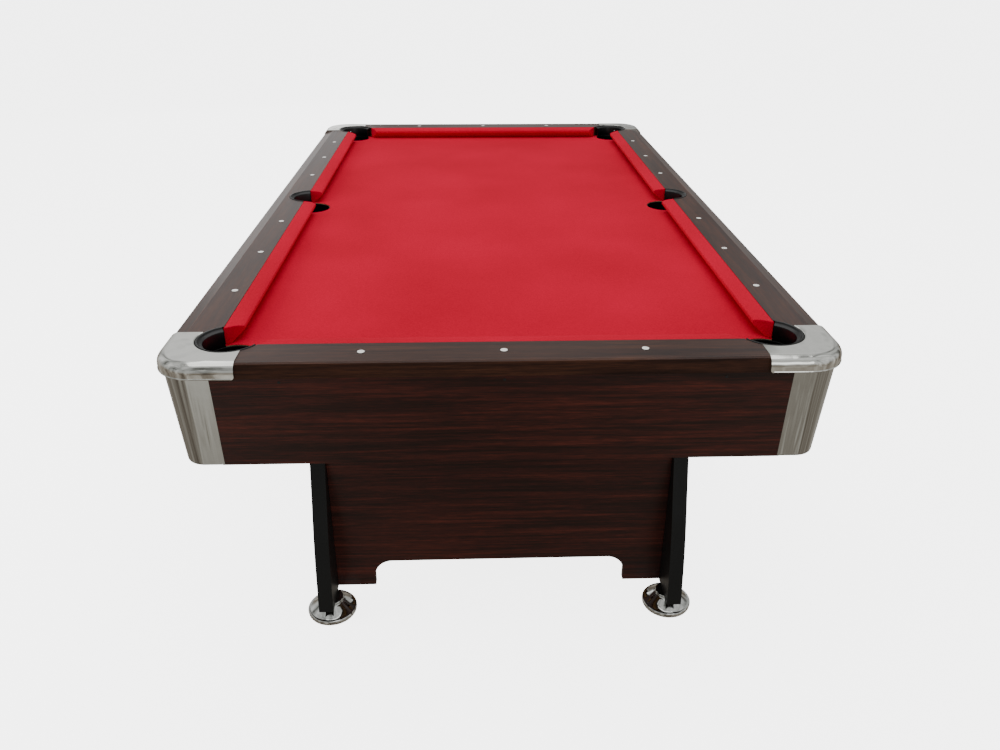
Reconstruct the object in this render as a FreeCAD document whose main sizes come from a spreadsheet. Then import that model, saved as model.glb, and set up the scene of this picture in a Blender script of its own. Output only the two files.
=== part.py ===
import FreeCAD, Part
import os
import Sketcher

# Home pool table, 2.54 m x 1.42 m x 0.80 m, all sizes in millimetres.
# Frame: origin on the floor under the middle of the table, +X across, +Y along, +Z up.
# Sides: left is -X, right is +X, foot is the -Y end and head is the +Y end.

SIZES = {
    # Playing field: cushion noses, and the inner edge of the wooden rails.
    "nose_x": 562, "nose_y": 1127, "back_x": 600, "back_y": 1168,
    "rail_top": 798, "bed_top": 758, "rail_under": 764,
    # Rail section: flat top, bevel, and outer face that leans out a little.
    "flat_x": 670, "bevel_x": 33, "drop_x": 11,
    "flat_y": 1254, "bevel_y": 4, "drop_y": 3, "face_lean": 3,
    # Bed: board with its cloth.
    "slab_x": 650, "slab_y": 1214, "slab_thick": 25, "cloth_thick": 1, "rebate_gap": 5,
    # Pockets: centres, hole in the board, liner wall, lip and cup.
    "pocket_x": 573, "pocket_y": 1139, "side_pocket_x": 587,
    "throat_r": 55, "liner_wall": 3, "hole_gap": 0.3, "lip_r": 70,
    "lip_top": 799, "lip_thick": 10, "cup_floor": 625, "cup_floor_thick": 4,
    "corner_mouth": 20, "mouth_floor": 756, "liner_screw_y": 12, "liner_screw_z": 777,
    "liner_screw_length": 10, "liner_screw_proud": 3,
    # Cushion section: how far each corner lies behind the nose and below the rail top.
    "cushion_top_x": 6, "cushion_top_drop": 4.5, "cushion_nose_drop": 7.5,
    "cushion_chin_x": 0.5, "cushion_chin_drop": 11, "cushion_foot_x": 27, "cushion_gap": 0.4,
    "rubber_top_x": 6.5, "rubber_top_drop": 5.6, "rubber_nose_x": 1.1, "rubber_nose_drop": 8,
    "rubber_chin_x": 1.6, "rubber_chin_drop": 10.8, "rubber_foot_x": 27.6,
    # Cushion ends beside the pockets.
    "corner_end_nose_y": 1053, "corner_end_back_y": 1083,
    "side_end_nose_y": 67, "side_end_back_y": 63,
    "corner_end_nose_x": 481, "corner_end_back_x": 506,
    # Corner castings.
    "casting_x": 538, "casting_y": 1108, "casting_outer_x": 710, "casting_outer_y": 1270,
    "casting_top": 800, "casting_under": 766, "casting_r": 88, "casting_wall": 4,
    "casting_edge_r": 16,
    # How far a cutting outline runs on past the stock that it trims.
    "overrun": 10,
    # Aprons and the rounded corner skirts between them.
    "apron_x": 696, "apron_y": 1254, "apron_foot": 549, "apron_thick": 18, "apron_lean": 16,
    "skirt_reach": 100, "skirt_r": 62, "skirt_wall": 2,
    # Bearers under the bed.
    "bearer_inner_x": 395, "bearer_outer_x": 420, "bearer_top": 672, "bearer_foot": 612,
    "bearer_y": 1220, "cross_x": 668, "cross_thick": 25, "cross_near_y": 320, "cross_far_y": 890,
    # Legs: bowed boards, and the panel between each pair.
    "leg_outer_x": 456, "leg_foot": 44, "leg_toe_y": 1136.5, "leg_heel_y": 1019,
    "leg_knee_z": 322, "leg_knee_outer_y": 1083, "leg_knee_inner_y": 950,
    "leg_head_outer_y": 985, "leg_head_inner_y": 800, "leg_outer_bow_r": 1150,
    "leg_inner_bow_r": 1000, "panel_y": 1040, "panel_thick": 18, "panel_foot": 47,
    "panel_head": 611, "arch_x": 322, "arch_top": 123, "arch_r": 45,
    # Screw feet.
    "foot_x": 433, "foot_y": 1078, "disc_r": 62, "disc_rim": 9, "cone_r": 30, "cone_top": 35,
    "neck_top": 43.7, "stem_r": 8, "stem_top": 112, "stem_gap": 0.1, "flange_r": 14,
    "flange_foot": 14, "flange_thick": 8, "flange_gap": 0.3, "insert_r": 11,
    "insert_length": 30, "bore_top": 116,
    # Fasteners and rail markers.
    "marker_r": 7, "marker_thick": 2, "marker_proud": 0.4, "marker_x": 629, "marker_y": 1210,
    "marker_step_x": 291, "marker_step_y": 286,
    "bolt_r": 5, "bolt_head_r": 10, "bolt_head": 7, "bolt_relief": 1, "rail_bolt_depth": 25,
    "rail_bolt_x": 635, "rail_bolt_y": 1196, "rail_bolt_near_y": 200, "rail_bolt_mid_y": 520,
    "rail_bolt_far_y": 800, "rail_bolt_end_x": 320,
    "leg_bolt_z": 642, "leg_bolt_near_y": 860, "leg_bolt_far_y": 940,
    "screw_r": 3, "screw_z": 752, "screw_end_x": 453, "screw_side_y": 540, "screw_length": 24,
}

PLANES = {"across": "XZ_Plane", "along": "YZ_Plane", "plan": "XY_Plane"}
UPRIGHT = FreeCAD.Rotation(FreeCAD.Vector(0, 0, 1), 0)
ALONG_Y = FreeCAD.Rotation(FreeCAD.Vector(1, 0, 0), -90)
ALONG_X = FreeCAD.Rotation(FreeCAD.Vector(0, 1, 0), 90)

doc = FreeCAD.newDocument("pool_table")


def fill_sheet():
    sheet = doc.addObject("Spreadsheet::Sheet", "dims")
    for row, (alias, size) in enumerate(SIZES.items(), start=1):
        sheet.set(f"A{row}", alias)
        sheet.set(f"B{row}", str(size))
        sheet.setAlias(f"B{row}", alias)
    doc.recompute()


def new_body(node):
    body = doc.addObject("PartDesign::Body", node)
    body.Label = node
    return body


def new_sketch(body, plane, lift):
    """A sketch on one of the body's own origin planes, lifted along the plane's normal."""
    sketch = body.newObject("Sketcher::SketchObject", "outline")
    for feature in body.Origin.OriginFeatures:
        if feature.Role == PLANES[plane]:
            sketch.AttachmentSupport = [(feature, "")]
    sketch.MapMode = "FlatFace"
    sketch.setExpression("AttachmentOffset.Base.z", lift)
    return sketch


def fix_point(sketch, curve, end, x, y, start=(10, 10)):
    """Ties one point of a curve to the sketch origin by two sizes from the sheet."""
    for kind, size, first in (("DistanceX", x, start[0]), ("DistanceY", y, start[1])):
        row = sketch.addConstraint(Sketcher.Constraint(kind, -1, 1, curve, end, first))
        sketch.setExpression(f"Constraints[{row}]", size)


def draw_polygon(sketch, corners):
    count = len(corners)
    for i in range(count):
        start = FreeCAD.Vector(10 * i, 10 * i * i, 0)
        stop = FreeCAD.Vector(10 * (i + 1), 10 * (i + 1) * (i + 1), 0)
        sketch.addGeometry(Part.LineSegment(start, stop), False)
    for i in range(count):
        sketch.addConstraint(Sketcher.Constraint("Coincident", i, 2, (i + 1) % count, 1))
        fix_point(sketch, i, 1, *corners[i])


def draw_circles(sketch, circles):
    """Circles given as centre x, centre y and radius."""
    for x, y, radius in circles:
        seed = Part.Circle(FreeCAD.Vector(0, 0, 0), FreeCAD.Vector(0, 0, 1), 10)
        curve = sketch.addGeometry(seed, False)
        fix_point(sketch, curve, 3, x, y)
        row = sketch.addConstraint(Sketcher.Constraint("Radius", curve, 10))
        sketch.setExpression(f"Constraints[{row}]", radius)


def pad_between(body, plane, corners, low, high):
    """Pads a polygon from low to high along the plane's world axis."""
    lift = f"-({high})" if plane == "across" else low
    sketch = new_sketch(body, plane, lift)
    draw_polygon(sketch, corners)
    pad = body.newObject("PartDesign::Pad", "pad")
    pad.Profile = sketch
    pad.setExpression("Length", f"({high}) - ({low})")
    return pad


def cut_between(body, plane, corners, circles, low, high):
    """Cuts a polygon or circles away from low to high along the plane's world axis."""
    lift = f"-({low})" if plane == "across" else high
    sketch = new_sketch(body, plane, lift)
    if corners:
        draw_polygon(sketch, corners)
    draw_circles(sketch, circles)
    pocket = body.newObject("PartDesign::Pocket", "pocket")
    pocket.Profile = sketch
    pocket.setExpression("Length", f"({high}) - ({low})")
    return pocket


def revolve(body, corners):
    """Turns a polygon in the XZ plane about the body's own Z axis."""
    sketch = new_sketch(body, "across", "0")
    draw_polygon(sketch, corners)
    turn = body.newObject("PartDesign::Revolution", "revolution")
    turn.Profile = sketch
    turn.ReferenceAxis = (sketch, ["V_Axis"])
    turn.Angle = 360
    return turn


def round_edges(body, feature, radius, chosen):
    """Rounds the edges of a feature that the test picks."""
    doc.recompute()
    names = [f"Edge{i}" for i, edge in enumerate(feature.Shape.Edges, start=1) if chosen(edge)]
    fillet = body.newObject("PartDesign::Fillet", "rounding")
    fillet.Base = (feature, names)
    fillet.setExpression("Radius", radius)
    return fillet


def is_upright_at(edge, x, y):
    box = edge.BoundBox
    here = abs(box.Center.x - x) < 1 and abs(box.Center.y - y) < 1
    return here and box.ZLength > 1 and box.XLength < 0.1 and box.YLength < 0.1


def group(node, solids):
    """Like pieces that stay separate solids share one node."""
    compound = doc.addObject("Part::Compound", node)
    compound.Label = node
    compound.Links = solids
    return compound


def cylinder(name, radius, length, place, turn=UPRIGHT):
    """A plain cylinder that starts at the place (x, y, z) and runs along its turned axis."""
    solid = doc.addObject("Part::Cylinder", name)
    solid.setExpression("Radius", radius)
    solid.setExpression("Height", length)
    solid.Placement = FreeCAD.Placement(FreeCAD.Vector(), turn)
    for axis, size in zip("xyz", place):
        solid.setExpression(f"Placement.Base.{axis}", size)
    return solid


def stand_at(body, x, y, angle=0):
    body.Placement = FreeCAD.Placement(
        FreeCAD.Vector(), FreeCAD.Rotation(FreeCAD.Vector(0, 0, 1), angle)
    )
    body.setExpression("Placement.Base.x", x)
    body.setExpression("Placement.Base.y", y)


# The four corners as sign text for expressions, with the name of each.
CORNERS = {
    "foot_left": ("-", "-", 225),
    "foot_right": ("", "-", 315),
    "head_left": ("-", "", 135),
    "head_right": ("", "", 45),
}
SIDES = {"left": "-", "right": ""}
ENDS = {"foot": "-", "head": ""}


def pocket_circles(radius):
    circles = [(f"{sx}dims.pocket_x", f"{sy}dims.pocket_y", radius) for sx, sy, _ in CORNERS.values()]
    return circles + [(f"{sx}dims.side_pocket_x", "0", radius) for sx in SIDES.values()]


def rail_bolt_places():
    places = []
    for sx in SIDES.values():
        for sy in ENDS.values():
            for size in ("rail_bolt_near_y", "rail_bolt_mid_y", "rail_bolt_far_y"):
                places.append((f"{sx}dims.rail_bolt_x", f"{sy}dims.{size}"))
    for sy in ENDS.values():
        for x in ("-dims.rail_bolt_end_x", "0", "dims.rail_bolt_end_x"):
            places.append((x, f"{sy}dims.rail_bolt_y"))
    return places


def marker_places():
    """Three round markers on each end rail and six on each long rail."""
    ends = [(f"{k} * dims.marker_step_x", f"{sy}dims.marker_y") for sy in ENDS.values() for k in (-1, 0, 1)]
    steps = (-3, -2, -1, 1, 2, 3)
    sides = [(f"{sx}dims.marker_x", f"{k} * dims.marker_step_y") for sx in SIDES.values() for k in steps]
    return ends + sides


def board_with_holes(node, low, high):
    """The bed board or its cloth: a rectangle with six pocket holes and the bolt holes."""
    body = new_body(node)
    x, y = "dims.slab_x", "dims.slab_y"
    corners = [(f"-{x}", f"-{y}"), (x, f"-{y}"), (x, y), (f"-{x}", y)]
    pad_between(body, "plan", corners, low, high)
    holes = pocket_circles("dims.throat_r + dims.liner_wall + dims.hole_gap")
    holes += [(px, py, "dims.bolt_r") for px, py in rail_bolt_places()]
    body.Tip = cut_between(body, "plan", [], holes, low, high)


def side_rail(side):
    """One long rail with a round notch for the side pocket and one at each end."""
    s = SIDES[side]
    rebate = "dims.slab_x + dims.rebate_gap"
    outer = "dims.flat_x + dims.bevel_x"
    section = [
        (f"{s}dims.back_x", "dims.bed_top"),
        (f"{s}dims.back_x", "dims.rail_top"),
        (f"{s}dims.flat_x", "dims.rail_top"),
        (f"{s}({outer})", "dims.rail_top - dims.drop_x"),
        (f"{s}({outer} + dims.face_lean)", "dims.rail_under"),
        (f"{s}({rebate})", "dims.rail_under"),
        (f"{s}({rebate})", "dims.bed_top"),
    ]
    body = new_body(f"rail_{side}")
    pad_between(body, "across", section, "-dims.casting_y", "dims.casting_y")
    notch = "dims.lip_r + dims.hole_gap"
    notches = [(f"{s}dims.pocket_x", f"{sy}dims.pocket_y", notch) for sy in ENDS.values()]
    notches.append((f"{s}dims.side_pocket_x", "0", notch))
    cut_between(body, "plan", [], notches, "dims.bed_top", "dims.rail_top")
    finish_rail(body, lambda place: place[0] in (f"{s}dims.rail_bolt_x", f"{s}dims.marker_x"))


def end_rail(end):
    """One short rail with a round notch at each end."""
    s = ENDS[end]
    rebate = "dims.slab_y + dims.rebate_gap"
    outer = "dims.flat_y + dims.bevel_y"
    section = [
        (f"{s}dims.back_y", "dims.bed_top"),
        (f"{s}dims.back_y", "dims.rail_top"),
        (f"{s}dims.flat_y", "dims.rail_top"),
        (f"{s}({outer})", "dims.rail_top - dims.drop_y"),
        (f"{s}({outer} + dims.face_lean)", "dims.rail_under"),
        (f"{s}({rebate})", "dims.rail_under"),
        (f"{s}({rebate})", "dims.bed_top"),
    ]
    body = new_body(f"rail_{end}")
    pad_between(body, "along", section, "-dims.casting_x", "dims.casting_x")
    notch = "dims.lip_r + dims.hole_gap"
    notches = [(f"{sx}dims.pocket_x", f"{s}dims.pocket_y", notch) for sx in SIDES.values()]
    cut_between(body, "plan", [], notches, "dims.bed_top", "dims.rail_top")
    finish_rail(body, lambda place: place[1] in (f"{s}dims.rail_bolt_y", f"{s}dims.marker_y"))


def finish_rail(body, on_this_rail):
    """Blind bolt holes from below and shallow seats for the round markers."""
    bolts = [place for place in rail_bolt_places() if on_this_rail(place)]
    seats = [place for place in marker_places() if on_this_rail(place)]
    bolt_circles = [(x, y, "dims.bolt_r") for x, y in bolts]
    seat_circles = [(x, y, "dims.marker_r") for x, y in seats]
    depth = "dims.bed_top + dims.rail_bolt_depth"
    cut_between(body, "plan", [], bolt_circles, "dims.bed_top", depth)
    top = "dims.rail_top"
    body.Tip = cut_between(body, "plan", [], seat_circles, f"{top} - dims.marker_thick", top)


def cushion_section(sign, nose, back, skin):
    """Rubber wedge with its nose near the top, or the cloth skin round it."""
    foot = "dims.bed_top + dims.cushion_gap"
    outer = [
        (f"{back}", "dims.rail_top"),
        (f"{nose} + dims.cushion_top_x", "dims.rail_top - dims.cushion_top_drop"),
        (f"{nose}", "dims.rail_top - dims.cushion_nose_drop"),
        (f"{nose} + dims.cushion_chin_x", "dims.rail_top - dims.cushion_chin_drop"),
        (f"{nose} + dims.cushion_foot_x", foot),
        (f"{back}", foot),
    ]
    rubber_foot = f"{foot} + dims.cloth_thick"
    inner = [
        (f"{back}", "dims.rail_top - dims.cloth_thick"),
        (f"{nose} + dims.rubber_top_x", "dims.rail_top - dims.rubber_top_drop"),
        (f"{nose} + dims.rubber_nose_x", "dims.rail_top - dims.rubber_nose_drop"),
        (f"{nose} + dims.rubber_chin_x", "dims.rail_top - dims.rubber_chin_drop"),
        (f"{nose} + dims.rubber_foot_x", rubber_foot),
        (f"{back}", rubber_foot),
    ]
    chosen = outer + inner[::-1] if skin else inner
    return [(f"{sign}({across})", up) for across, up in chosen]


def long_cushion(side, end, skin):
    """Half a long rail's cushion, cut slantwise at the side pocket and the corner pocket."""
    sx, sy = SIDES[side], ENDS[end]
    prefix = "cushion_cloth" if skin else "cushion"
    body = new_body(f"{prefix}_{side}_{end}")
    section = cushion_section(sx, "dims.nose_x", "dims.back_x", skin)
    low, high = "dims.side_end_back_y", "dims.corner_end_back_y"
    if sy:
        low, high = f"-{high}", f"-{low}"
    pad_between(body, "across", section, low, high)
    nose, back, clear = f"{sx}dims.nose_x", f"{sx}dims.back_x", f"{sx}(dims.nose_x - dims.overrun)"
    corner_cut = [
        (nose, f"{sy}dims.corner_end_nose_y"),
        (back, f"{sy}dims.corner_end_back_y"),
        (back, f"{sy}(dims.corner_end_back_y + dims.overrun)"),
        (clear, f"{sy}(dims.corner_end_back_y + dims.overrun)"),
        (clear, f"{sy}dims.corner_end_nose_y"),
    ]
    side_cut = [
        (nose, f"{sy}dims.side_end_nose_y"),
        (back, f"{sy}dims.side_end_back_y"),
        (back, f"{sy}(dims.side_end_back_y - dims.overrun)"),
        (clear, f"{sy}(dims.side_end_back_y - dims.overrun)"),
        (clear, f"{sy}dims.side_end_nose_y"),
    ]
    cut_between(body, "plan", corner_cut, [], "dims.bed_top", "dims.rail_top")
    body.Tip = cut_between(body, "plan", side_cut, [], "dims.bed_top", "dims.rail_top")


def end_cushion(end, skin):
    """A short rail's cushion, cut slantwise at both corner pockets."""
    s = ENDS[end]
    prefix = "cushion_cloth" if skin else "cushion"
    body = new_body(f"{prefix}_{end}")
    section = cushion_section(s, "dims.nose_y", "dims.back_y", skin)
    pad_between(body, "along", section, "-dims.corner_end_back_x", "dims.corner_end_back_x")
    for sx in SIDES.values():
        corner_cut = [
            (f"{sx}dims.corner_end_nose_x", f"{s}dims.nose_y"),
            (f"{sx}dims.corner_end_back_x", f"{s}dims.back_y"),
            (f"{sx}(dims.corner_end_back_x + dims.overrun)", f"{s}dims.back_y"),
            (f"{sx}(dims.corner_end_back_x + dims.overrun)", f"{s}(dims.nose_y - dims.overrun)"),
            (f"{sx}dims.corner_end_nose_x", f"{s}(dims.nose_y - dims.overrun)"),
        ]
        body.Tip = cut_between(body, "plan", corner_cut, [], "dims.bed_top", "dims.rail_top")


def corner_casting(corner):
    """Hollow cap over the corner: rounded outside, open below, notched for the pocket."""
    sx, sy, _ = CORNERS[corner]
    body = new_body(f"corner_casting_{corner}")
    low, top = "dims.casting_under", "dims.casting_top"
    corners = [
        (f"{sx}dims.casting_x", f"{sy}dims.casting_y"),
        (f"{sx}dims.casting_outer_x", f"{sy}dims.casting_y"),
        (f"{sx}dims.casting_outer_x", f"{sy}dims.casting_outer_y"),
        (f"{sx}dims.casting_x", f"{sy}dims.casting_outer_y"),
    ]
    block = pad_between(body, "plan", corners, low, top)
    sign_x = -1 if sx else 1
    sign_y = -1 if sy else 1
    far_x, far_y = sign_x * SIZES["casting_outer_x"], sign_y * SIZES["casting_outer_y"]
    rounded = round_edges(body, block, "dims.casting_r", lambda e: is_upright_at(e, far_x, far_y))

    def is_outer_top(edge):
        box = edge.BoundBox
        level = abs(box.ZMin - SIZES["casting_top"]) < 0.1 and box.ZLength < 0.1
        reach_x = max(abs(box.XMin), abs(box.XMax)) > abs(far_x) - 1
        reach_y = max(abs(box.YMin), abs(box.YMax)) > abs(far_y) - 1
        on_long = reach_x and box.XLength < 0.1
        on_short = reach_y and box.YLength < 0.1
        return level and (on_long or on_short or (reach_x and reach_y))

    round_edges(body, rounded, "dims.casting_edge_r", is_outer_top)
    wall = "dims.casting_wall"
    hollow = [
        (f"{sx}(dims.casting_x - dims.overrun)", f"{sy}(dims.casting_y - dims.overrun)"),
        (f"{sx}(dims.casting_outer_x - {wall})", f"{sy}(dims.casting_y - dims.overrun)"),
        (f"{sx}(dims.casting_outer_x - {wall})", f"{sy}(dims.casting_outer_y - dims.casting_r)"),
        (f"{sx}(dims.casting_outer_x - dims.casting_r)", f"{sy}(dims.casting_outer_y - {wall})"),
        (f"{sx}(dims.casting_x - dims.overrun)", f"{sy}(dims.casting_outer_y - {wall})"),
    ]
    cut_between(body, "plan", hollow, [], low, f"{top} - 2 * {wall}")
    notch = [(f"{sx}dims.pocket_x", f"{sy}dims.pocket_y", "dims.lip_r + dims.hole_gap")]
    body.Tip = cut_between(body, "plan", [], notch, low, top)


def quarter_cone(name, radius, lean, sx, sy):
    """A quarter of a cone frustum that leans inward going down, at one rounded corner."""
    cone = doc.addObject("Part::Cone", name)
    cone.setExpression("Radius1", f"{radius} - {lean}")
    cone.setExpression("Radius2", radius)
    cone.setExpression("Height", "dims.casting_under - dims.apron_foot")
    cone.Angle = 90
    start = {("", ""): 0, ("-", ""): 90, ("-", "-"): 180, ("", "-"): 270}[(sx, sy)]
    cone.Placement = FreeCAD.Placement(
        FreeCAD.Vector(), FreeCAD.Rotation(FreeCAD.Vector(0, 0, 1), start)
    )
    cone.setExpression("Placement.Base.x", f"{sx}(dims.apron_x - dims.skirt_r)")
    cone.setExpression("Placement.Base.y", f"{sy}(dims.apron_y - dims.skirt_r)")
    cone.setExpression("Placement.Base.z", "dims.apron_foot")
    return cone


def skirt_flat(name, plane, sign, outer, low, high):
    """A flat of the skirt's sheet, leaning in with the apron that it meets."""
    body = new_body(name)
    top, foot = "dims.casting_under", "dims.apron_foot"
    section = [
        (f"{sign}{outer}", top),
        (f"{sign}({outer} - dims.apron_lean)", foot),
        (f"{sign}({outer} - dims.apron_lean - dims.skirt_wall)", foot),
        (f"{sign}({outer} - dims.skirt_wall)", top),
    ]
    body.Tip = pad_between(body, plane, section, low, high)
    return body


def corner_skirt(corner):
    """Formed sheet below the casting: round the corner, then flat as far as each apron."""
    sx, sy, _ = CORNERS[corner]
    bend = doc.addObject("Part::Cut", f"skirt_bend_{corner}")
    bend.Base = quarter_cone(f"skirt_outside_{corner}", "dims.skirt_r", "dims.apron_lean", sx, sy)
    inner = "dims.skirt_r - dims.skirt_wall"
    bend.Tool = quarter_cone(f"skirt_inside_{corner}", inner, "dims.apron_lean", sx, sy)
    pieces = [bend]
    for name, plane, outer, along, s, s_along in (
        (f"skirt_end_flat_{corner}", "along", "dims.apron_y", "dims.apron_x", sy, sx),
        (f"skirt_side_flat_{corner}", "across", "dims.apron_x", "dims.apron_y", sx, sy),
    ):
        near, far = f"{along} - dims.skirt_reach", f"{along} - dims.skirt_r"
        low, high = (f"-({far})", f"-({near})") if s_along else (near, far)
        pieces.append(skirt_flat(name, plane, s, outer, low, high))
    skirt = doc.addObject("Part::MultiFuse", f"corner_skirt_{corner}")
    skirt.Label = f"corner_skirt_{corner}"
    skirt.Shapes = pieces
    skirt.Refine = True


def apron_section(sign, outer):
    return [
        (f"{sign}{outer}", "dims.rail_under"),
        (f"{sign}({outer} - dims.apron_lean)", "dims.apron_foot"),
        (f"{sign}({outer} - dims.apron_lean - dims.apron_thick)", "dims.apron_foot"),
        (f"{sign}({outer} - dims.apron_thick)", "dims.rail_under"),
    ]


def side_apron(side):
    s = SIDES[side]
    body = new_body(f"apron_{side}")
    reach = "dims.apron_y - dims.skirt_reach"
    pad_between(body, "across", apron_section(s, "dims.apron_x"), f"-({reach})", reach)
    holes = [(f"{k} * dims.screw_side_y", "dims.screw_z", "dims.screw_r") for k in (-1, 0, 1)]
    inside = "dims.apron_x - dims.apron_lean - dims.apron_thick - dims.overrun"
    edges = (f"{s}({inside})", f"{s}(dims.apron_x + dims.overrun)")
    low, high = edges if not s else edges[::-1]
    body.Tip = cut_between(body, "along", [], holes, low, high)


def end_apron(end):
    s = ENDS[end]
    body = new_body(f"apron_{end}")
    reach = "dims.apron_x - dims.skirt_reach"
    pad_between(body, "along", apron_section(s, "dims.apron_y"), f"-({reach})", reach)
    holes = [(f"{k} * dims.screw_end_x", "dims.screw_z", "dims.screw_r") for k in (-1, 0, 1)]
    inside = "dims.apron_y - dims.apron_lean - dims.apron_thick - dims.overrun"
    edges = (f"{s}({inside})", f"{s}(dims.apron_y + dims.overrun)")
    low, high = edges if not s else edges[::-1]
    body.Tip = cut_between(body, "across", [], holes, low, high)


def pocket_liner(node, x, y, angle, mouth):
    """Lipped cup, open at the top, with its front cut down to the bed for the ball."""
    wall = "dims.throat_r + dims.liner_wall"
    under = "dims.lip_top - dims.lip_thick"
    body = new_body(node)
    revolve(body, [
        ("0", "dims.cup_floor"),
        ("0", "dims.cup_floor + dims.cup_floor_thick"),
        ("dims.throat_r", "dims.cup_floor + dims.cup_floor_thick"),
        ("dims.throat_r", "dims.lip_top"),
        ("dims.lip_r", "dims.lip_top"),
        ("dims.lip_r", under),
        (wall, under),
        (wall, "dims.cup_floor"),
    ])
    front, clear = "-dims.lip_r - dims.overrun", "dims.lip_r + dims.overrun"
    opening = [(front, f"-({clear})"), (mouth, f"-({clear})"), (mouth, clear), (front, clear)]
    cut_between(body, "plan", opening, [], "dims.mouth_floor", "dims.lip_top")
    holes = [(f"{k} * dims.liner_screw_y", "dims.liner_screw_z", "dims.screw_r") for k in (-1, 1)]
    body.Tip = cut_between(body, "along", [], holes, "dims.throat_r - dims.overrun", wall)
    stand_at(body, x, y, angle)


def all_pocket_liners():
    for corner, (sx, sy, angle) in CORNERS.items():
        x, y = f"{sx}dims.pocket_x", f"{sy}dims.pocket_y"
        pocket_liner(f"pocket_liner_{corner}", x, y, angle, "-dims.corner_mouth")
    side_mouth = "dims.back_x - dims.side_pocket_x + dims.hole_gap"
    for side, sx in SIDES.items():
        angle = 180 if sx else 0
        pocket_liner(f"pocket_liner_{side}", f"{sx}dims.side_pocket_x", "0", angle, side_mouth)


def long_bearer(side):
    """Lengthwise bearer that the leg boards bolt to, below the cross bearers."""
    s = SIDES[side]
    body = new_body(f"long_bearer_{side}")
    inner, outer = f"{s}dims.bearer_inner_x", f"{s}dims.bearer_outer_x"
    corners = [
        (inner, "dims.bearer_foot"), (outer, "dims.bearer_foot"),
        (outer, "dims.bearer_top"), (inner, "dims.bearer_top"),
    ]
    pad_between(body, "across", corners, "-dims.bearer_y", "dims.bearer_y")
    low, high = (outer, inner) if s else (inner, outer)
    body.Tip = cut_between(body, "along", [], leg_bolt_circles(ENDS.values()), low, high)


def leg_bolt_circles(ends):
    sizes = ("leg_bolt_near_y", "leg_bolt_far_y")
    return [(f"{s}dims.{size}", "dims.leg_bolt_z", "dims.bolt_r") for s in ends for size in sizes]


def cross_bearers():
    """Four cross boards between the long bearers and the bed board."""
    boards = []
    for sy in ENDS.values():
        for size in ("cross_near_y", "cross_far_y"):
            board = doc.addObject("Part::Box", "cross_board")
            board.setExpression("Length", "2 * dims.cross_x")
            board.setExpression("Width", "dims.cross_thick")
            height = "dims.bed_top - dims.cloth_thick - dims.slab_thick - dims.bearer_top"
            board.setExpression("Height", height)
            board.setExpression("Placement.Base.x", "-dims.cross_x")
            board.setExpression("Placement.Base.y", f"{sy}dims.{size} - dims.cross_thick / 2")
            board.setExpression("Placement.Base.z", "dims.bearer_top")
            boards.append(board)
    group("cross_bearers", boards)


def bow_seed(start, stop, radius, turn):
    """An arc between two points whose middle stands out to the turn's side."""
    half = start.distanceToPoint(stop) / 2
    rise = radius - (radius**2 - half**2) ** 0.5
    along = (stop - start).normalize()
    outward = FreeCAD.Vector(along.y, -along.x, 0) * turn
    return Part.Arc(start, (start + stop) * 0.5 + outward * rise, stop)


def leg_board(corner):
    """Sabre-shaped board: straight above its knee, bowed out from the knee to the floor."""
    sx, sy, _ = CORNERS[corner]
    turn = -1 if sy else 1
    body = new_body(f"leg_{corner}")
    inner, outer = f"{sx}dims.bearer_outer_x", f"{sx}dims.leg_outer_x"
    low, high = (outer, inner) if sx else (inner, outer)
    sketch = new_sketch(body, "along", low)
    draw_leg(sketch, sy, turn)
    pad = body.newObject("PartDesign::Pad", "pad")
    pad.Profile = sketch
    pad.setExpression("Length", f"({high}) - ({low})")
    cut_between(body, "along", [], leg_bolt_circles([sy]), low, high)
    foot_x, foot_y = f"{sx}dims.foot_x", f"{sy}dims.foot_y"
    insert_top = "dims.leg_foot + dims.insert_length"
    cut_between(body, "plan", [], [(foot_x, foot_y, "dims.insert_r")], "dims.leg_foot", insert_top)
    stem_hole = [(foot_x, foot_y, "dims.stem_r + dims.stem_gap")]
    body.Tip = cut_between(body, "plan", [], stem_hole, insert_top, "dims.bore_top")


def draw_leg(sketch, sign, turn):
    """The leg's outline: four straight edges and two bows, all tied to the sheet."""
    corners = {
        "toe": ("leg_toe_y", "leg_foot"), "heel": ("leg_heel_y", "leg_foot"),
        "knee_outer": ("leg_knee_outer_y", "leg_knee_z"),
        "knee_inner": ("leg_knee_inner_y", "leg_knee_z"),
        "head_outer": ("leg_head_outer_y", "bearer_top"),
        "head_inner": ("leg_head_inner_y", "bearer_top"),
    }
    seeds = {k: FreeCAD.Vector(turn * SIZES[y], SIZES[z], 0) for k, (y, z) in corners.items()}
    chain = ["knee_outer", "head_outer", "head_inner", "knee_inner"]
    tied = {}
    for first, second in [*zip(chain, chain[1:]), ("heel", "toe")]:
        line = sketch.addGeometry(Part.LineSegment(seeds[first], seeds[second]), False)
        for end, name in ((1, first), (2, second)):
            if name in tied:
                sketch.addConstraint(Sketcher.Constraint("Coincident", line, end, *tied[name]))
            else:
                y, z = corners[name]
                start = (seeds[name].x, seeds[name].y)
                fix_point(sketch, line, end, f"{sign}dims.{y}", f"dims.{z}", start)
                tied[name] = (line, end)
    for low_name, edge in (("toe", "outer"), ("heel", "inner")):
        size = f"leg_{edge}_bow_r"
        arc = bow_seed(seeds[low_name], seeds[f"knee_{edge}"], SIZES[size], turn)
        curve = sketch.addGeometry(arc, False)
        upright = abs(sketch.getPoint(curve, 1).y - SIZES["leg_foot"]) < 1
        order = (low_name, f"knee_{edge}") if upright else (f"knee_{edge}", low_name)
        for end, name in enumerate(order, start=1):
            sketch.addConstraint(Sketcher.Constraint("Coincident", curve, end, *tied[name]))
        row = sketch.addConstraint(Sketcher.Constraint("Radius", curve, SIZES[size]))
        sketch.setExpression(f"Constraints[{row}]", f"dims.{size}")


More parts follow.
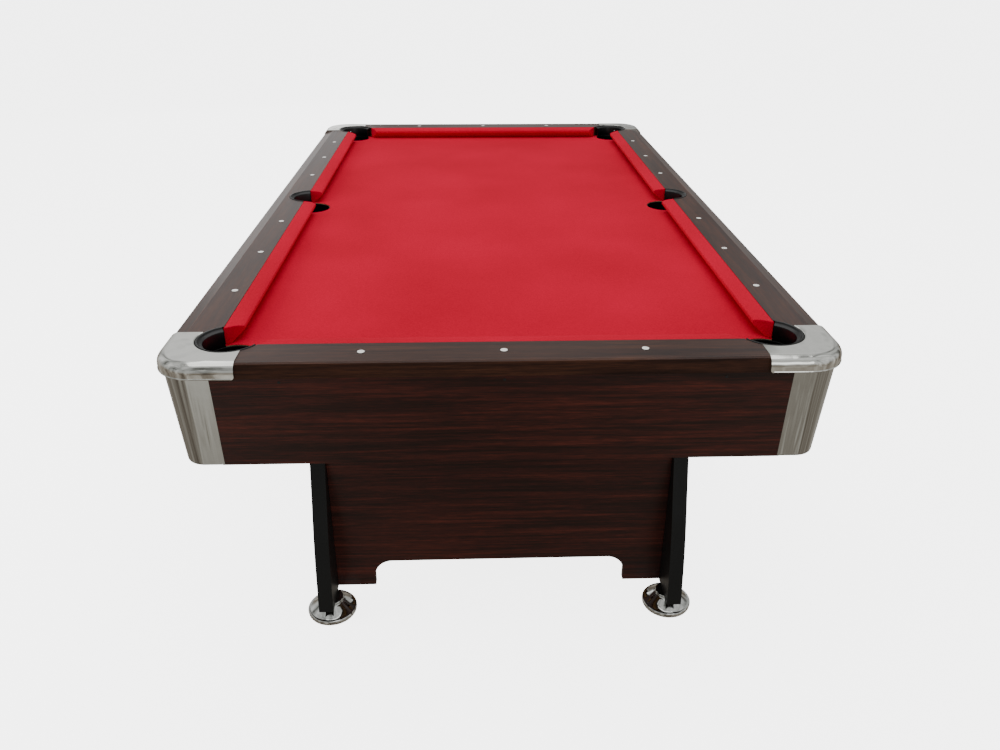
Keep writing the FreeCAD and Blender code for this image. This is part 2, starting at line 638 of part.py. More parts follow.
def end_panel(end):
    """Board between a pair of legs, with a low arch cut out of its bottom edge."""
    s = ENDS[end]
    body = new_body(f"end_panel_{end}")
    x, foot, head = "dims.bearer_outer_x", "dims.panel_foot", "dims.panel_head"
    arch = "dims.arch_x"
    corners = [
        (f"-{x}", foot), (f"-{arch}", foot), (f"-{arch}", "dims.arch_top"),
        (arch, "dims.arch_top"), (arch, foot), (x, foot), (x, head), (f"-{x}", head),
    ]
    edges = (f"{s}(dims.panel_y - dims.panel_thick)", f"{s}dims.panel_y")
    low, high = edges if not s else edges[::-1]
    pad = pad_between(body, "across", corners, low, high)

    def is_arch_corner(edge):
        box = edge.BoundBox
        high_enough = abs(box.Center.z - SIZES["arch_top"]) < 0.5 and box.YLength > 1
        return high_enough and abs(abs(box.Center.x) - SIZES["arch_x"]) < 0.5

    body.Tip = round_edges(body, pad, "dims.arch_r", is_arch_corner)


def foot_pad(corner):
    """Round foot with a low rim, a cone and a neck, and a socket for the stem's flange."""
    sx, sy, _ = CORNERS[corner]
    bore = "dims.stem_r + dims.flange_gap"
    socket = "dims.flange_r + dims.flange_gap"
    socket_top = "dims.flange_foot + dims.flange_thick + 2 * dims.flange_gap"
    body = new_body(f"foot_pad_{corner}")
    body.Tip = revolve(body, [
        ("0", "0"), ("dims.disc_r", "0"), ("dims.disc_r", "dims.disc_rim"),
        ("dims.cone_r", "dims.cone_top"), ("dims.cone_r", "dims.neck_top"),
        (bore, "dims.neck_top"), (bore, socket_top), (socket, socket_top),
        (socket, "dims.flange_foot"), ("0", "dims.flange_foot"),
    ])
    stand_at(body, f"{sx}dims.foot_x", f"{sy}dims.foot_y")


def foot_stem(corner):
    """Screwed stem with the flange that turns in the foot's socket."""
    sx, sy, _ = CORNERS[corner]
    foot = "dims.flange_foot + dims.flange_gap"
    flange_top = f"{foot} + dims.flange_thick"
    body = new_body(f"foot_stem_{corner}")
    body.Tip = revolve(body, [
        ("0", foot), ("dims.flange_r", foot), ("dims.flange_r", flange_top),
        ("dims.stem_r", flange_top), ("dims.stem_r", "dims.stem_top"), ("0", "dims.stem_top"),
    ])
    stand_at(body, f"{sx}dims.foot_x", f"{sy}dims.foot_y")


def foot_inserts():
    """Threaded sleeves pressed into the ends of the leg boards."""
    sleeves = []
    for corner, (sx, sy, _) in CORNERS.items():
        place = (f"{sx}dims.foot_x", f"{sy}dims.foot_y", "dims.leg_foot")
        sleeve = doc.addObject("Part::Cut", f"sleeve_{corner}")
        length = "dims.insert_length"
        sleeve.Base = cylinder(f"sleeve_outside_{corner}", "dims.insert_r", length, place)
        bore = "dims.stem_r + dims.stem_gap"
        sleeve.Tool = cylinder(f"sleeve_bore_{corner}", bore, length, place)
        sleeves.append(sleeve)
    group("foot_inserts", sleeves)


def headed_bolt(name, shank, place, turn, head_side):
    """A bolt: shank from the place along its axis, head on the side before the shank."""
    bolt = doc.addObject("Part::Fuse", name)
    bolt.Base = cylinder(f"{name}_shank", "dims.bolt_r", shank, place, turn)
    bolt.Tool = cylinder(f"{name}_head", "dims.bolt_head_r", "dims.bolt_head", head_side, turn)
    return bolt


def rail_bolts():
    """Bolts up through the bed board into the rails."""
    under = "dims.bed_top - dims.cloth_thick - dims.slab_thick"
    length = "dims.cloth_thick + dims.slab_thick + dims.rail_bolt_depth - dims.bolt_relief"
    bolts = []
    for i, (x, y) in enumerate(rail_bolt_places()):
        head = (x, y, f"{under} - dims.bolt_head")
        bolts.append(headed_bolt(f"rail_bolt_{i}", length, (x, y, under), UPRIGHT, head))
    group("rail_bolts", bolts)


def leg_bolts():
    """Bolts from inside each long bearer through its leg boards."""
    length = "dims.leg_outer_x - dims.bearer_inner_x - dims.bolt_relief"
    bolts = []
    for side, sx in SIDES.items():
        for i, (y, z, _) in enumerate(leg_bolt_circles(ENDS.values())):
            if sx:
                start = ("-dims.leg_outer_x + dims.bolt_relief", y, z)
                head = ("-dims.bearer_inner_x", y, z)
            else:
                start = ("dims.bearer_inner_x", y, z)
                head = ("dims.bearer_inner_x - dims.bolt_head", y, z)
            bolts.append(headed_bolt(f"leg_bolt_{side}_{i}", length, start, ALONG_X, head))
    group("leg_bolts", bolts)


def apron_screws():
    """Small screws along the top of each apron."""
    screws = []
    for end, sy in ENDS.items():
        start = "dims.apron_y - dims.screw_length" if not sy else "-dims.apron_y"
        for k in (-1, 0, 1):
            place = (f"{k} * dims.screw_end_x", start, "dims.screw_z")
            length = "dims.screw_length"
            screws.append(cylinder(f"screw_{end}_{k + 1}", "dims.screw_r", length, place, ALONG_Y))
    for side, sx in SIDES.items():
        start = "dims.apron_x - dims.screw_length" if not sx else "-dims.apron_x"
        for k in (-1, 0, 1):
            place = (start, f"{k} * dims.screw_side_y", "dims.screw_z")
            length = "dims.screw_length"
            screws.append(cylinder(f"screw_{side}_{k + 1}", "dims.screw_r", length, place, ALONG_X))
    group("apron_screws", screws)


def pocket_screws():
    """Two screws through the back of each pocket liner."""
    screws = []
    places = {c: (f"{sx}dims.pocket_x", f"{sy}dims.pocket_y", a) for c, (sx, sy, a) in CORNERS.items()}
    places["left"] = ("-dims.side_pocket_x", "0", 180)
    places["right"] = ("dims.side_pocket_x", "0", 0)
    for where, (x, y, angle) in places.items():
        pair = []
        for k in (-1, 1):
            start = "dims.throat_r - dims.liner_screw_proud"
            place = (start, f"{k} * dims.liner_screw_y", "dims.liner_screw_z")
            name = f"liner_screw_{where}_{k + 1}"
            length = "dims.liner_screw_length"
            pair.append(cylinder(name, "dims.screw_r", length, place, ALONG_X))
        both = group(f"liner_screws_{where}", pair)
        stand_at(both, x, y, angle)
        screws.append(both)
    group("pocket_screws", screws)


def rail_markers():
    """Round inlaid markers along the rail tops."""
    low = "dims.rail_top - dims.marker_thick"
    thick = "dims.marker_thick + dims.marker_proud"
    discs = []
    for i, (x, y) in enumerate(marker_places()):
        discs.append(cylinder(f"marker_{i}", "dims.marker_r", thick, (x, y, low)))
    group("rail_markers", discs)


def build_table():
    slab_top = "dims.bed_top - dims.cloth_thick"
    board_with_holes("bed_slab", f"{slab_top} - dims.slab_thick", slab_top)
    board_with_holes("bed_cloth", slab_top, "dims.bed_top")
    for skin in (False, True):
        for side in SIDES:
            for end in ENDS:
                long_cushion(side, end, skin)
        for end in ENDS:
            end_cushion(end, skin)
    for side in SIDES:
        side_rail(side)
        side_apron(side)
        long_bearer(side)
    for end in ENDS:
        end_rail(end)
        end_apron(end)
        end_panel(end)
    for corner in CORNERS:
        corner_casting(corner)
        corner_skirt(corner)
        leg_board(corner)
        foot_pad(corner)
        foot_stem(corner)
    all_pocket_liners()
    cross_bearers()
    foot_inserts()
    rail_bolts()
    leg_bolts()
    apron_screws()
    pocket_screws()
    rail_markers()
    doc.recompute()


NODES = (
    ["bed_slab", "bed_cloth", "cross_bearers", "foot_inserts", "rail_bolts", "leg_bolts"]
    + ["apron_screws", "pocket_screws", "rail_markers"]
    + [f"{kind}_{name}" for kind in ("rail", "apron") for name in (*SIDES, *ENDS)]
    + [f"{kind}_{side}_{end}" for kind in ("cushion", "cushion_cloth") for side in SIDES for end in ENDS]
    + [f"{kind}_{end}" for kind in ("cushion", "cushion_cloth", "end_panel") for end in ENDS]
    + [f"{kind}_{side}" for kind in ("long_bearer", "pocket_liner") for side in SIDES]
    + [
        f"{kind}_{corner}"
        for kind in ("corner_casting", "corner_skirt", "pocket_liner", "leg", "foot_pad", "foot_stem")
        for corner in CORNERS
    ]
)


def check_and_export():
    for thing in doc.Objects:
        if "Invalid" in thing.State or "Error" in thing.State:
            raise RuntimeError(f"{thing.Name} ({thing.Label}) is {thing.State}")
    by_label = {thing.Label: thing for thing in doc.Objects}
    for node in NODES:
        shape = by_label[node].Shape
        if shape.isNull() or not shape.isValid() or not shape.Solids:
            raise RuntimeError(f"{node} has a bad shape")
    for node in NODES:
        by_label[node].Shape.exportStep(f"parts/{node}.step")
        print(f"{node}: {len(by_label[node].Shape.Solids)} solid, {by_label[node].Shape.Volume / 1000:.1f} cm3")


os.makedirs("parts", exist_ok=True)
fill_sheet()
build_table()
check_and_export()
print(len(NODES), "nodes")
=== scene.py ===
import math

import bmesh
import bpy
from mathutils import Matrix, Vector


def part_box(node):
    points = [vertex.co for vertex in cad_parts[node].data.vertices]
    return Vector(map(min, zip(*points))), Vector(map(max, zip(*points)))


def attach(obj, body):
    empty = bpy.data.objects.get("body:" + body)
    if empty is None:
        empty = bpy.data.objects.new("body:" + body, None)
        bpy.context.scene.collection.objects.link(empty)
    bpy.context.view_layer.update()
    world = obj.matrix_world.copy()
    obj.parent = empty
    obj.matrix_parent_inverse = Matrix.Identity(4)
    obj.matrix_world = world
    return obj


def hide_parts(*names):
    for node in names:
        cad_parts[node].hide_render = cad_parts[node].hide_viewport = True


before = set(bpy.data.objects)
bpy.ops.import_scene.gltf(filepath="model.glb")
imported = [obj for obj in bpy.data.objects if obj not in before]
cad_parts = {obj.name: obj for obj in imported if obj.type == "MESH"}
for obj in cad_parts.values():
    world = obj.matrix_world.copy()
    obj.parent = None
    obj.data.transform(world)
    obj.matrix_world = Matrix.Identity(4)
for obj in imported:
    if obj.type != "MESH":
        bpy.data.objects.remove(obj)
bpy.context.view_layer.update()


# ---------------------------------------------------------------------------------------------
# Studio: a camera at head height beyond the foot end, a plain white floor, and a soft pale room.
# The room is light above and darker below, with soft uneven patches for the chrome to reflect.
RAIL_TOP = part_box("rail_left")[1].z
EYE = (-0.0664, -2.7786, RAIL_TOP + 0.7365)
EYE_TILT, EYE_ROLL, EYE_TURN = 63.168, -0.186, -2.038
EYE_LENS = 30.55
FLOOR_HALF = 45
FLOOR_GLOW = 4.2
BACKDROP_LIFT = 0.8
# each lamp's name, place, aim, width, depth, watts, and whether gloss mirrors it
LAMPS = [
    ("overhead", (0, 0.2, 4.4), (0, 0, 0.8), 4.0, 5.0, 110, True),
    ("left_panel", (-4.2, -1.6, 3.0), (0, -0.2, 0.6), 2.4, 2.4, 70, False),
    ("front_panel", (1.6, -6.0, 2.6), (0, -1.0, 0.5), 3.0, 1.8, 24, True),
    ("rear_panel", (-2.6, 6.6, 1.5), (-0.65, 0.9, RAIL_TOP), 3.0, 1.4, 15, True),
]

camera_data = bpy.data.cameras.new("camera")
camera_data.lens = EYE_LENS
camera_data.sensor_width = 36
camera_data.clip_end = 300
camera = bpy.data.objects.new("camera", camera_data)
camera.location = EYE
camera.rotation_euler = [math.radians(a) for a in (EYE_TILT, EYE_ROLL, EYE_TURN)]
bpy.context.scene.collection.objects.link(camera)
bpy.context.scene.camera = camera


def linear(colour):
    """An sRGB hex colour such as "A1B2C3" as linear red, green, blue and alpha."""
    parts = [int(colour[i : i + 2], 16) / 255 for i in (0, 2, 4)]
    return [c / 12.92 if c <= 0.04045 else ((c + 0.055) / 1.055) ** 2.4 for c in parts] + [1.0]


def add_node(tree, kind, settings=None, links=None):
    """A node with its settings and links; a ramp's stops are pairs of a place and a hex colour."""
    node = tree.nodes.new(kind)
    for name, value in (settings or {}).items():
        if name == "stops":
            stops = node.color_ramp.elements
            while len(stops) < len(value):
                stops.new(0.5)
            for stop, (place, colour) in zip(stops, value):
                stop.position = place
                stop.color = linear(colour)
        elif isinstance(name, int) or name in node.inputs:
            node.inputs[name].default_value = value
        else:
            setattr(node, name, value)
    for name, source in (links or {}).items():
        tree.links.new(source, node.inputs[name])
    return node


def make_room():
    """Upper and lower halves of the room, each with broad soft patches, joined near eye level."""
    world = bpy.data.worlds.new("room")
    world.use_nodes = True
    tree = world.node_tree
    tree.nodes.clear()
    where = add_node(tree, "ShaderNodeTexCoord").outputs["Generated"]
    tall = add_node(tree, "ShaderNodeMapping", {"Scale": (3.2, 3.2, 0.7)}, {"Vector": where})
    patches = add_node(
        tree, "ShaderNodeTexNoise", {"Scale": 1.0, "Detail": 3.0, "Roughness": 0.6},
        {"Vector": tall.outputs[0]},
    ).outputs[0]
    ceiling = add_node(
        tree, "ShaderNodeValToRGB",
        {"stops": [(0.33, "55544F"), (0.43, "A9AAA9"), (0.53, "D6D7D6"), (0.66, "FFFFFF")]},
        {"Fac": patches},
    )
    ground = add_node(
        tree, "ShaderNodeValToRGB",
        {"stops": [(0.34, "453B32"), (0.45, "8A8176"), (0.55, "A8A197"), (0.66, "E6E2DA")]},
        {"Fac": patches},
    )
    height = add_node(tree, "ShaderNodeSeparateXYZ", links={0: where}).outputs["Z"]
    share = add_node(
        tree, "ShaderNodeMapRange",
        {"From Min": -0.16, "From Max": 0.22, "interpolation_type": "SMOOTHSTEP"},
        {"Value": height},
    )
    mixed = add_node(
        tree, "ShaderNodeMix", {"data_type": "RGBA"},
        {0: share.outputs[0], 6: ground.outputs[0], 7: ceiling.outputs[0]},
    )
    glow = add_node(tree, "ShaderNodeBackground", {"Strength": 1.0}, {"Color": mixed.outputs[2]})
    plain = add_node(
        tree, "ShaderNodeBackground",
        {"Color": linear("FFFFFF"), "Strength": FLOOR_GLOW + BACKDROP_LIFT},
    )
    straight = add_node(tree, "ShaderNodeLightPath").outputs["Is Camera Ray"]
    shown = add_node(
        tree, "ShaderNodeMixShader", links={0: straight, 1: glow.outputs[0], 2: plain.outputs[0]}
    )
    add_node(tree, "ShaderNodeOutputWorld", links={"Surface": shown.outputs[0]})
    bpy.context.scene.world = world


def add_lamp(name, place, aim, width, depth, power, mirrored_in_gloss):
    """A soft rectangular lamp, which may be kept out of glossy reflections."""
    data = bpy.data.lights.new(name, "AREA")
    data.shape = "RECTANGLE"
    data.size = width
    data.size_y = depth
    data.energy = power
    lamp = bpy.data.objects.new(name, data)
    lamp.location = place
    lamp.rotation_euler = (Vector(aim) - Vector(place)).to_track_quat("-Z", "Y").to_euler()
    lamp.visible_glossy = mirrored_in_gloss
    bpy.context.scene.collection.objects.link(lamp)


def make_floor():
    """A glowing white floor that catches a faint shadow but isn't seen in the table's chrome."""
    bm = bmesh.new()
    bmesh.ops.create_grid(bm, x_segments=2, y_segments=2, size=FLOOR_HALF)
    mesh = bpy.data.meshes.new("floor")
    bm.to_mesh(mesh)
    bm.free()
    floor = bpy.data.objects.new("floor", mesh)
    bpy.context.scene.collection.objects.link(floor)
    floor.visible_glossy = False
    floor.visible_diffuse = False
    paint = bpy.data.materials.new("floor_white_vinyl")
    paint.use_nodes = True
    shader = paint.node_tree.nodes["Principled BSDF"]
    shader.inputs["Base Color"].default_value = linear("F7F7F7")
    shader.inputs["Roughness"].default_value = 0.9
    shader.inputs["Specular IOR Level"].default_value = 0.1
    shader.inputs["Emission Color"].default_value = linear("FFFFFF")
    shader.inputs["Emission Strength"].default_value = FLOOR_GLOW
    mesh.materials.append(paint)


make_room()
make_floor()
for lamp_row in LAMPS:
    add_lamp(*lamp_row)


# ---------------------------------------------------------------------------------------------
# Bed cloth: a napped red wool and nylon baize stretched over the bed board and turned down
# into the six holes. Short fibres scatter light at a grazing view, so the shader has some sheen.
CLOTH_RED = ("AC0022", "BE002B", "CE0335")
CLOTH_STOPS = (0.36, 0.5, 0.66)
FIBRE = 0.0022
SHADE_PATCH = 0.35
BED_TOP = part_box("bed_cloth")[1].z


def new_material(name):
    """An empty node material with its shader and the object's own coordinates."""
    material = bpy.data.materials.new(name)
    material.use_nodes = True
    tree = material.node_tree
    shader = tree.nodes["Principled BSDF"]
    where = add_node(tree, "ShaderNodeTexCoord").outputs["Object"]
    return material, tree, shader, where


def set_shader(shader, settings):
    """Values that are the same all over go straight on the shader's sockets."""
    for name, value in settings.items():
        shader.inputs[name].default_value = value


def red_baize():
    """Fibres are drawn about twice as coarse as real ones, so that they show at table size."""
    material, tree, shader, where = new_material("red_wool_baize")
    fibres = add_node(
        tree, "ShaderNodeTexNoise", {"Scale": 1 / FIBRE, "Detail": 3.0, "Roughness": 0.7},
        {"Vector": where},
    )
    patches = add_node(
        tree, "ShaderNodeTexNoise", {"Scale": 1 / SHADE_PATCH, "Detail": 2.0}, {"Vector": where}
    )
    mixed = add_node(
        tree, "ShaderNodeMix", {"data_type": "FLOAT", 0: 0.3},
        {2: fibres.outputs[0], 3: patches.outputs[0]},
    )
    ramp = add_node(
        tree, "ShaderNodeValToRGB", {"stops": list(zip(CLOTH_STOPS, CLOTH_RED))},
        {"Fac": mixed.outputs[0]},
    )
    bump = add_node(
        tree, "ShaderNodeBump", {"Strength": 0.35, "Distance": 0.0006}, {"Height": fibres.outputs[0]}
    )
    tree.links.new(ramp.outputs[0], shader.inputs["Base Color"])
    tree.links.new(bump.outputs[0], shader.inputs["Normal"])
    set_shader(shader, {
        "Roughness": 0.95, "Specular IOR Level": 0.1, "Sheen Weight": 0.06,
        "Sheen Roughness": 0.5, "Sheen Tint": linear("FF5A6A"),
    })
    return material


def soften_shading(bm, sharp_from=32):
    """Smooth faces, with the edges that turn by more than the angle kept sharp."""
    for face in bm.faces:
        face.smooth = True
    for edge in bm.edges:
        turn = edge.calc_face_angle(0)
        edge.smooth = turn < math.radians(sharp_from)


def make_piece(name, bm, materials, replaced, body="table", flat_sided=False):
    """Puts a finished mesh in the scene, riding on its body and standing for its CAD nodes."""
    soften_shading(bm)
    mesh = bpy.data.meshes.new(name)
    bm.to_mesh(mesh)
    bm.free()
    for material in materials:
        mesh.materials.append(material)
    piece = bpy.data.objects.new(name, mesh)
    bpy.context.scene.collection.objects.link(piece)
    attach(piece, body)
    if replaced:
        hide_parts(*replaced)
    if flat_sided:  # large faces keep their shading flat right up to their rounded edges
        piece.modifiers.new("even_shading", "WEIGHTED_NORMAL").keep_sharp = True
    return piece


def merged_copy(node):
    """A bmesh of a CAD node with its loose triangles joined into whole faces."""
    bm = bmesh.new()
    bm.from_mesh(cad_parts[node].data)
    bmesh.ops.remove_doubles(bm, verts=bm.verts, dist=0.00002)
    bmesh.ops.dissolve_limit(bm, angle_limit=math.radians(0.5), verts=bm.verts, edges=bm.edges)
    return bm


def bevel_sharp(bm, width, segments, from_angle=25):
    """Rounds every edge that turns by more than the angle."""
    sharp = [e for e in bm.edges if e.is_manifold and e.calc_face_angle() > math.radians(from_angle)]
    bmesh.ops.bevel(
        bm, geom=sharp, offset=width, segments=segments, profile=0.5, material=-1,
        affect="EDGES", clamp_overlap=True,
    )


baize = red_baize()
bed = merged_copy("bed_cloth")
bevel_sharp(bed, 0.0004, 2)
bed_cloth = make_piece(
    "bed_baize", bed, [baize], ["bed_cloth"], flat_sided=True
)


# ---------------------------------------------------------------------------------------------
# Cushions: rubber wedges covered with the same baize, pulled tight over the nose and folded
# round both ends. The back edge is rounded where the cloth is tucked under the wooden rail.
NOSE_ROUND = 0.0025
CROWN_SHARE, CROWN_DROP = 0.55, 0.0018
# the nose from the top down: how far it is short of the tip, and how far below the rail top
NOSE_SECTION = [(0.006, 0.0045), (0.001, 0.0068), (0.0, 0.0084), (0.0004, 0.0160), (0.0030, 0.0190)]
UNDERCUT = 0.027
BED_CLEAR = 0.0004
SAW_ALLOWANCE = 0.02


def cushion_bar(node, along, ends):
    """A wedge-shaped bar under the rail top, cut slantwise at both ends by (place, slope) pairs."""
    low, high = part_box(node)
    across = 1 - along
    inward = -1 if low[across] > 0 else 1
    back = high[across] if inward < 0 else low[across]
    depth = high[across] - low[across]
    profile = [(0.0, RAIL_TOP), (depth * CROWN_SHARE, RAIL_TOP - CROWN_DROP)]
    profile += [(depth - short, RAIL_TOP - drop) for short, drop in NOSE_SECTION]
    profile += [(depth - UNDERCUT, BED_TOP + BED_CLEAR), (0.0, BED_TOP + BED_CLEAR)]
    bm = bmesh.new()
    verts = []
    for inset, z in profile:
        place = [0.0, 0.0, z]
        place[across] = back + inward * inset
        place[along] = low[along] - SAW_ALLOWANCE
        verts.append(bm.verts.new(place))
    face = bm.faces.new(verts)
    run = high[along] - low[along] + 2 * SAW_ALLOWANCE
    grown = bmesh.ops.extrude_face_region(bm, geom=[face])
    moved = [g for g in grown["geom"] if isinstance(g, bmesh.types.BMVert)]
    shift = Vector((0, 0, 0))
    shift[along] = run
    bmesh.ops.translate(bm, verts=moved, vec=shift)
    for nose_place, back_place, outward in ends:
        at_nose = Vector((0, 0, 0))
        at_nose[along], at_nose[across] = nose_place, back + inward * depth
        at_back = Vector((0, 0, 0))
        at_back[along], at_back[across] = back_place, back
        normal = (at_back - at_nose).cross(Vector((0, 0, 1)))
        if normal[along] * outward < 0:
            normal.negate()
        cut = bmesh.ops.bisect_plane(
            bm, geom=bm.verts[:] + bm.edges[:] + bm.faces[:], plane_co=at_nose, plane_no=normal,
            clear_outer=True,
        )
        rim = [g for g in cut["geom_cut"] if isinstance(g, bmesh.types.BMEdge)]
        bmesh.ops.contextual_create(bm, geom=rim)
    bmesh.ops.recalc_face_normals(bm, faces=bm.faces)
    bevel_sharp(bm, NOSE_ROUND, 3, from_angle=35)
    return bm


def make_cushion(name, along, ends):
    """One covered bar, which stands for both its rubber and its cloth."""
    node = f"cushion_cloth_{name}"
    bm = cushion_bar(node, along, ends)
    piece = make_piece(
        f"cushion_{name}_covered", bm, [baize], [node, f"cushion_{name}"], flat_sided=True
    )


CORNERS = {
    "foot_left": (-1, -1), "foot_right": (1, -1), "head_left": (-1, 1), "head_right": (1, 1),
}
CORNER_END_NOSE_Y, CORNER_END_BACK_Y = 1.053, 1.083
SIDE_END_NOSE_Y, SIDE_END_BACK_Y = 0.067, 0.063
CORNER_END_NOSE_X, CORNER_END_BACK_X = 0.481, 0.506
for corner_name, (x_sign, y_sign) in CORNERS.items():
    end_name, side_name = corner_name.split("_")
    make_cushion(f"{side_name}_{end_name}", 1, [
        (y_sign * CORNER_END_NOSE_Y, y_sign * CORNER_END_BACK_Y, y_sign),
        (y_sign * SIDE_END_NOSE_Y, y_sign * SIDE_END_BACK_Y, -y_sign),
    ])
for end_name in ("foot", "head"):
    make_cushion(end_name, 0, [(s * CORNER_END_NOSE_X, s * CORNER_END_BACK_X, s) for s in (-1, 1)])


# ---------------------------------------------------------------------------------------------
# Rails, aprons and end panels: fibreboard faced with a mahogany-pattern laminate. The printed grain
# runs along each board, and the clear top layer gives a soft sheen that varies with the grain.
GRAIN_ACROSS = 0.006
GRAIN_LONG = 0.30
PORE_ACROSS = 0.0016
PORE_LONG = 0.035
GRAIN_STOPS = (0.38, 0.47, 0.54, 0.64)


def mahogany_laminate(name, long_axis, tones, gloss, specular=0.42):
    """Broad figure, finer streaks and short pores, all drawn out along the board's long axis."""
    material, tree, shader, where = new_material(name)

    def stretched(across, long_way, detail, distortion):
        scale = [1 / across] * 3
        scale[long_axis] = 1 / long_way
        placed = add_node(tree, "ShaderNodeMapping", {"Scale": scale}, {"Vector": where})
        return add_node(
            tree, "ShaderNodeTexNoise",
            {"Scale": 1.0, "Detail": detail, "Roughness": 0.62, "Distortion": distortion},
            {"Vector": placed.outputs[0]},
        ).outputs[0]

    broad = stretched(GRAIN_ACROSS * 4, GRAIN_LONG * 1.6, 4.0, 0.8)
    streaks = stretched(GRAIN_ACROSS, GRAIN_LONG, 6.0, 0.5)
    pores = stretched(PORE_ACROSS, PORE_LONG, 2.0, 0.0)
    figure = add_node(tree, "ShaderNodeMix", {"data_type": "FLOAT", 0: 0.5}, {2: broad, 3: streaks})
    whole = add_node(
        tree, "ShaderNodeMix", {"data_type": "FLOAT", 0: 0.25}, {2: figure.outputs[0], 3: pores}
    )
    ramp = add_node(
        tree, "ShaderNodeValToRGB", {"stops": list(zip(GRAIN_STOPS, tones))},
        {"Fac": whole.outputs[0]},
    )
    bump = add_node(
        tree, "ShaderNodeBump", {"Strength": 0.12, "Distance": 0.0003}, {"Height": pores}
    )
    rough = add_node(
        tree, "ShaderNodeMapRange", {"To Min": gloss, "To Max": gloss + 0.14}, {"Value": streaks}
    )
    tree.links.new(ramp.outputs[0], shader.inputs["Base Color"])
    tree.links.new(bump.outputs[0], shader.inputs["Normal"])
    tree.links.new(rough.outputs[0], shader.inputs["Roughness"])
    set_shader(shader, {"Specular IOR Level": specular})
    return material


CABINET_TONES = ("1B0B08", "2E130F", "451B15", "662B20")
# The rails are the same laminate as the cabinet. Their tones are painted darker and browner, as painted
# shade for how light falls on the rail tops.
RAIL_PAINTED_SHADE_TONES = ("1D0D09", "2E1810", "3D2217", "52301F")
grain_x = mahogany_laminate("mahogany_laminate_across", 0, CABINET_TONES, 0.30)
grain_y = mahogany_laminate("mahogany_laminate_along", 1, CABINET_TONES, 0.30)
rail_grain_painted_shade_x = mahogany_laminate("mahogany_rail_painted_shade_across", 0, RAIL_PAINTED_SHADE_TONES, 0.26, 0.26)
rail_grain_painted_shade_y = mahogany_laminate("mahogany_rail_painted_shade_along", 1, RAIL_PAINTED_SHADE_TONES, 0.26, 0.26)

# Rails run a little way under the corner castings, and have a small radius along each edge.
RAIL_TUCK = 0.014
RAIL_EDGE = 0.0012


def make_rail(node, along, material):
    """A rail with its CAD shape, made a little longer at both ends and eased along its edges."""
    low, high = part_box(node)
    bm = merged_copy(node)
    for sign, edge in ((-1, low[along]), (1, high[along])):
        tip = [v for v in bm.verts if abs(v.co[along] - edge) < 0.0001]
        shift = Vector((0, 0, 0))
        shift[along] = sign * RAIL_TUCK
        bmesh.ops.translate(bm, verts=tip, vec=shift)
    bevel_sharp(bm, RAIL_EDGE, 3, from_angle=14)
    make_piece(f"{node}_laminate", bm, [material], [node], flat_sided=True)


for side_name in ("left", "right"):
    make_rail(f"rail_{side_name}", 1, rail_grain_painted_shade_y)
for end_name in ("foot", "head"):
    make_rail(f"rail_{end_name}", 0, rail_grain_painted_shade_x)

# Aprons and end panels keep their CAD shape with a fine rounded edge.
BOARD_EDGE = 0.0009
for node, material in (
    ("apron_left", grain_y), ("apron_right", grain_y), ("apron_foot", grain_x),
    ("apron_head", grain_x), ("end_panel_foot", grain_x), ("end_panel_head", grain_x),
):
    board = merged_copy(node)
    bevel_sharp(board, BOARD_EDGE, 2)
    make_piece(f"{node}_laminate", board, [material], [node], flat_sided=True)


# ---------------------------------------------------------------------------------------------
# Rail markers: round white inlays set in a thin black ring, pressed into shallow seats in the
# rail tops and polished almost flush.
MARKER_R = 0.0074
MARKER_RING_R = 0.0084
MARKER_STEPS = 24
INLAY_SECTION = [
    (0, 0.0007), (MARKER_R - 0.001, 0.0007), (MARKER_R, 0.0004), (MARKER_R, -0.001),
]
RING_SECTION = [
    (MARKER_R, -0.001), (MARKER_R, 0.0003), (MARKER_RING_R, 0.0003), (MARKER_RING_R, -0.001),
]


def plastic(name, colour, roughness, speck=0.0):
    """Moulded plastic: an even colour, with faint unevenness in its gloss."""
    material, tree, shader, where = new_material(name)
    cloud = add_node(tree, "ShaderNodeTexNoise", {"Scale": 160.0, "Detail": 3.0}, {"Vector": where})
    rough = add_node(
        tree, "ShaderNodeMapRange", {"To Min": roughness - 0.05, "To Max": roughness + 0.08},
        {"Value": cloud.outputs[0]},
    )
    tree.links.new(rough.outputs[0], shader.inputs["Roughness"])
    if speck:
        bump = add_node(
            tree, "ShaderNodeBump", {"Strength": speck, "Distance": 0.0003}, {"Height": cloud.outputs[0]}
        )
        tree.links.new(bump.outputs[0], shader.inputs["Normal"])
    shader.inputs["Base Color"].default_value = linear(colour)
    return material


def turned(bm, profile, centre, angle=math.tau, start=0.0, steps=48):
    """Spins a profile of (radius, height) points about an upright axis; closed rings are merged."""
    turn = Matrix.Rotation(start, 3, "Z")
    verts = [bm.verts.new(Vector(centre) + turn @ Vector((r, 0, z))) for r, z in profile]
    edges = [bm.edges.new(pair) for pair in zip(verts, verts[1:])]
    full = angle > math.tau - 0.001
    bmesh.ops.spin(
        bm, geom=verts + edges, cent=centre, axis=(0, 0, 1), angle=angle, steps=steps,
        use_merge=full,
    )
    bmesh.ops.remove_doubles(bm, verts=bm.verts, dist=0.000001)
    bmesh.ops.recalc_face_normals(bm, faces=bm.faces)


def marker_centres():
    """The middles of the CAD marker discs, found by grouping their vertices."""
    bm = merged_copy("rail_markers")
    centres, left = [], set(bm.verts)
    while left:
        island, edge_of_island = set(), [left.pop()]
        while edge_of_island:
            vert = edge_of_island.pop()
            island.add(vert)
            for edge in vert.link_edges:
                other = edge.other_vert(vert)
                if other in left:
                    left.discard(other)
                    edge_of_island.append(other)
        xs = [v.co.x for v in island]
        ys = [v.co.y for v in island]
        centres.append(((min(xs) + max(xs)) / 2, (min(ys) + max(ys)) / 2))
    bm.free()
    return sorted(centres)


